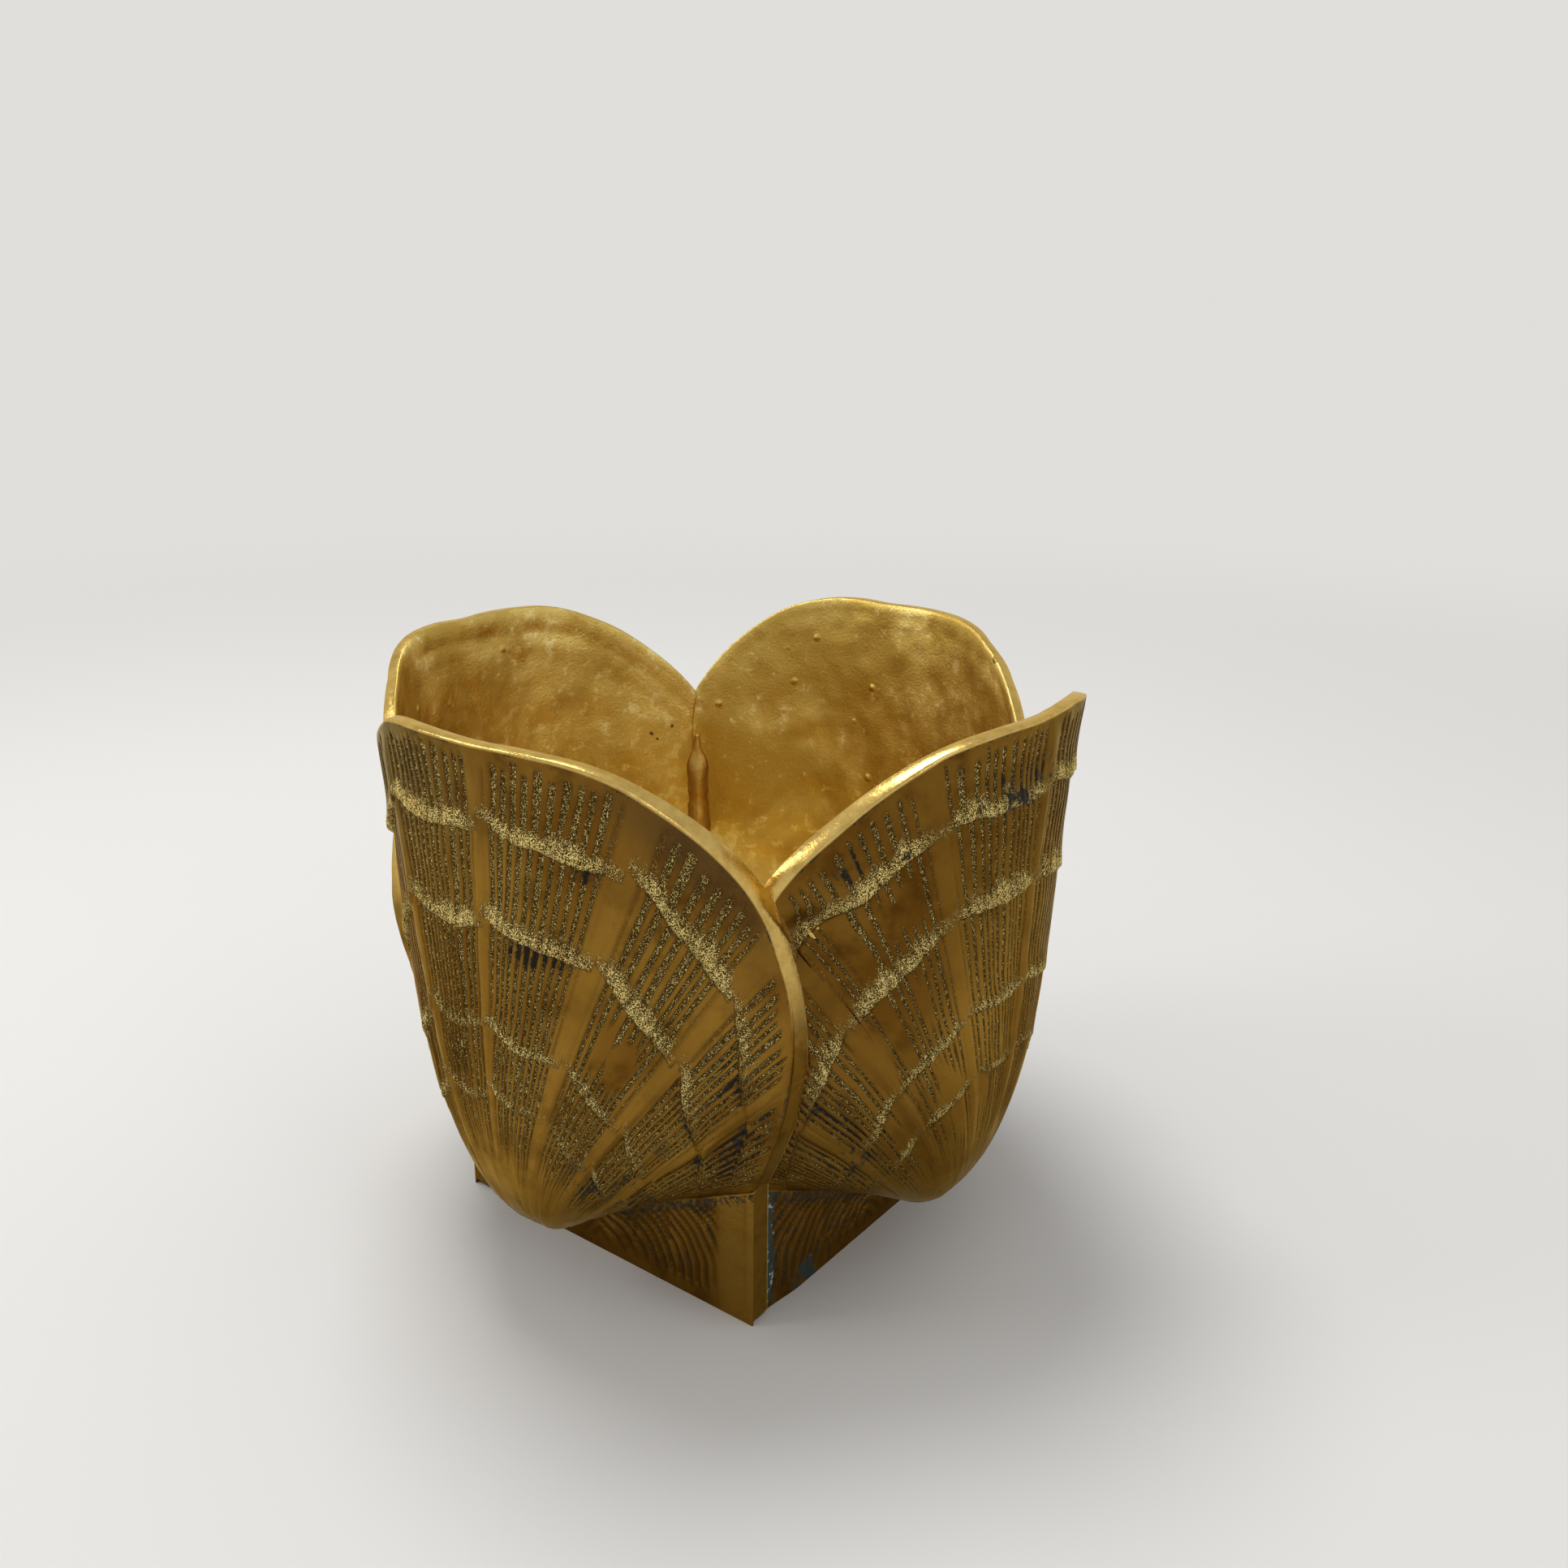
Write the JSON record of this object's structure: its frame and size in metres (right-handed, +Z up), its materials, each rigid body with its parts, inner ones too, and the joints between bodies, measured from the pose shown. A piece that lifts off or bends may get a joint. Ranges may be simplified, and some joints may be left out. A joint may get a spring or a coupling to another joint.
{
  "type": "planter pot",
  "caption": "Brass planter pot: upright clam-shell castings set like petals round a square foot, with a flat floor inside.",
  "frame": {"origin": "on the ground, under the middle of the square foot", "axes": "+Z up through the mouth; the front casting faces -Y, the right one +X, the back one +Y, the left one -X"},
  "size_m": [0.1838, 0.1838, 0.1506],
  "materials": {
    "cast_brass_front": "sand-cast, worn golden brown with dark patina in the grooves and ground bright rims",
    "cast_brass_right": "sand-cast, worn golden brown with dark patina in the grooves and ground bright rims",
    "cast_brass_back": "sand-cast, worn golden brown with dark patina in the grooves and ground bright rims",
    "cast_brass_left": "sand-cast, worn golden brown with dark patina in the grooves and ground bright rims",
    "brazing_brass": "rough braze with dull patina",
    "sheet_brass": "dull, stained plate"
  },
  "bodies": {
    "root": {"shell_front": "cast_brass_front", "shell_right": "cast_brass_right", "shell_back": "cast_brass_back", "shell_left": "cast_brass_left", "corner_seam_front_right": "brazing_brass", "corner_seam_back_right": "brazing_brass", "corner_seam_back_left": "brazing_brass", "corner_seam_front_left": "brazing_brass", "floor_plate": "sheet_brass", "floor_seam_front": "brazing_brass", "floor_seam_right": "brazing_brass", "floor_seam_back": "brazing_brass", "floor_seam_left": "brazing_brass"}
  },
  "joints": []
}
